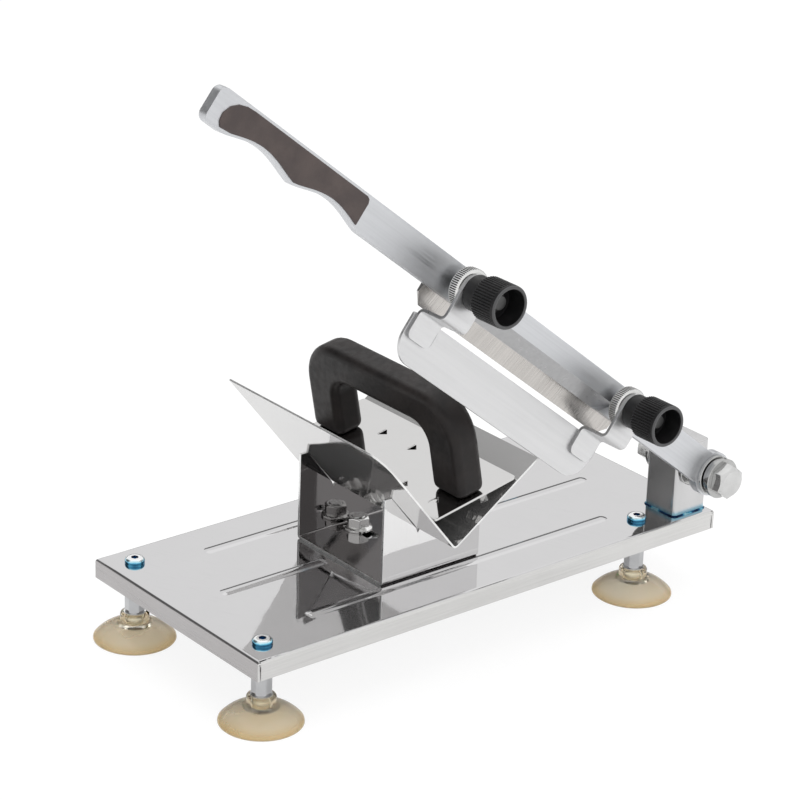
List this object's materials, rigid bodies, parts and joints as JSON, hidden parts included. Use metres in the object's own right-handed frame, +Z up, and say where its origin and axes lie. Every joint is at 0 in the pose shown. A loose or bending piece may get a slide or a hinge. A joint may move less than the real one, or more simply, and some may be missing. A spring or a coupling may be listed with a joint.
{
  "type": "frozen meat slicer",
  "caption": "Hand lever slicer for frozen meat: swinging arm with blade and guide plate over a V trough, on a steel tray with suction feet, with a toothed pusher.",
  "frame": {"origin": "on the ground, under the middle of the whole machine with its arm raised", "axes": "+X along the base towards the post, +Y away from the blade, +Z up"},
  "size_m": [0.385, 0.216, 0.3745],
  "materials": {
    "mirror_steel": "mirror polished stainless sheet",
    "satin_steel": "satin ground bar",
    "ground_steel": "ground blade steel",
    "satin_zinc": "satin light zinc",
    "bright_zinc": "bright zinc plate",
    "blue_zinc": "blue zinc plate",
    "post_steel": "satin stainless tube",
    "heat_tinted_steel": "weld with blue heat tint",
    "black_plastic": "satin black moulded plastic",
    "grip_plastic": "dark grip plastic",
    "cup_rubber": "translucent cream rubber"
  },
  "bodies": {
    "frame": {"base_plate": "mirror_steel", "foot_screws": "blue_zinc", "standoff_front_left": "bright_zinc", "standoff_back_left": "bright_zinc", "standoff_front_right": "bright_zinc", "standoff_back_right": "bright_zinc", "suction_cup_front_left": "cup_rubber", "suction_cup_back_left": "cup_rubber", "suction_cup_front_right": "cup_rubber", "suction_cup_back_right": "cup_rubber", "cup_inserts": "bright_zinc", "post": "post_steel", "post_weld": "heat_tinted_steel", "pivot_washer_outer": "bright_zinc", "pivot_washer_inner": "bright_zinc", "pivot_spring_washer": "bright_zinc", "spacer_washer_arm": "bright_zinc", "spacer_nut": "bright_zinc", "spacer_washer_post": "bright_zinc", "pivot_washer_back": "bright_zinc", "pivot_nut": "bright_zinc", "pivot_bolt": "bright_zinc", "bracket_bolt": "bright_zinc", "bracket_nut": "bright_zinc"},
    "arm": {"stud_left": "bright_zinc", "stud_right": "bright_zinc", "arm_bar": "satin_steel", "handle_scale_front": "grip_plastic", "handle_scale_back": "grip_plastic", "blade": "ground_steel"},
    "guide": {"guide_plate": "satin_zinc", "guide_strip_left": "satin_zinc", "guide_strip_right": "satin_zinc"},
    "left_nut": {"adjust_nut_left": "bright_zinc"},
    "right_nut": {"adjust_nut_right": "bright_zinc"},
    "left_knob": {"lock_knob_left": "black_plastic", "knob_insert_left": "bright_zinc"},
    "right_knob": {"lock_knob_right": "black_plastic", "knob_insert_right": "bright_zinc"},
    "cradle": {"trough": "mirror_steel", "trough_bracket": "mirror_steel"},
    "pusher": {"pusher_plate": "mirror_steel", "pusher_handle": "black_plastic", "pusher_studs": "bright_zinc", "pusher_nuts": "bright_zinc"}
  },
  "joints": [
    {"name": "arm_pivot", "type": "hinge", "parent": "frame", "child": "arm", "pos_m": [0.17705, -0.063, 0.079], "axis": [0, 1, 0], "range_deg": [-38, 40]},
    {"name": "guide_slide", "type": "slide", "parent": "arm", "child": "guide", "axis": [0, -1, 0], "range_m": [0, 0.008]},
    {"name": "left_nut_turn", "type": "hinge", "parent": "guide", "child": "left_nut", "pos_m": [-0.0275, -0.0745, 0.24112], "axis": [0, -1, 0], "range_deg": [0, 2304.1]},
    {"name": "right_nut_turn", "type": "hinge", "parent": "guide", "child": "right_nut", "pos_m": [0.09476, -0.0745, 0.14422], "axis": [0, -1, 0], "range_deg": [0, 2304.1]},
    {"name": "left_knob_turn", "type": "hinge", "parent": "guide", "child": "left_knob", "pos_m": [-0.0275, -0.094, 0.24112], "axis": [0, -1, 0], "continuous": true},
    {"name": "right_knob_turn", "type": "hinge", "parent": "guide", "child": "right_knob", "pos_m": [0.09476, -0.094, 0.14422], "axis": [0, -1, 0], "continuous": true},
    {"name": "trough_slide", "type": "slide", "parent": "frame", "child": "cradle", "axis": [0, 1, 0], "range_m": [0, 0.01]},
    {"name": "pusher_slide", "type": "slide", "parent": "cradle", "child": "pusher", "axis": [0, 1, 0], "range_m": [0, 0.06]}
  ],
  "couplings": [
    {"joint": "left_nut_turn", "follows": "guide_slide", "rad_per_m": 5026.5},
    {"joint": "right_nut_turn", "follows": "guide_slide", "rad_per_m": 5026.5}
  ]
}
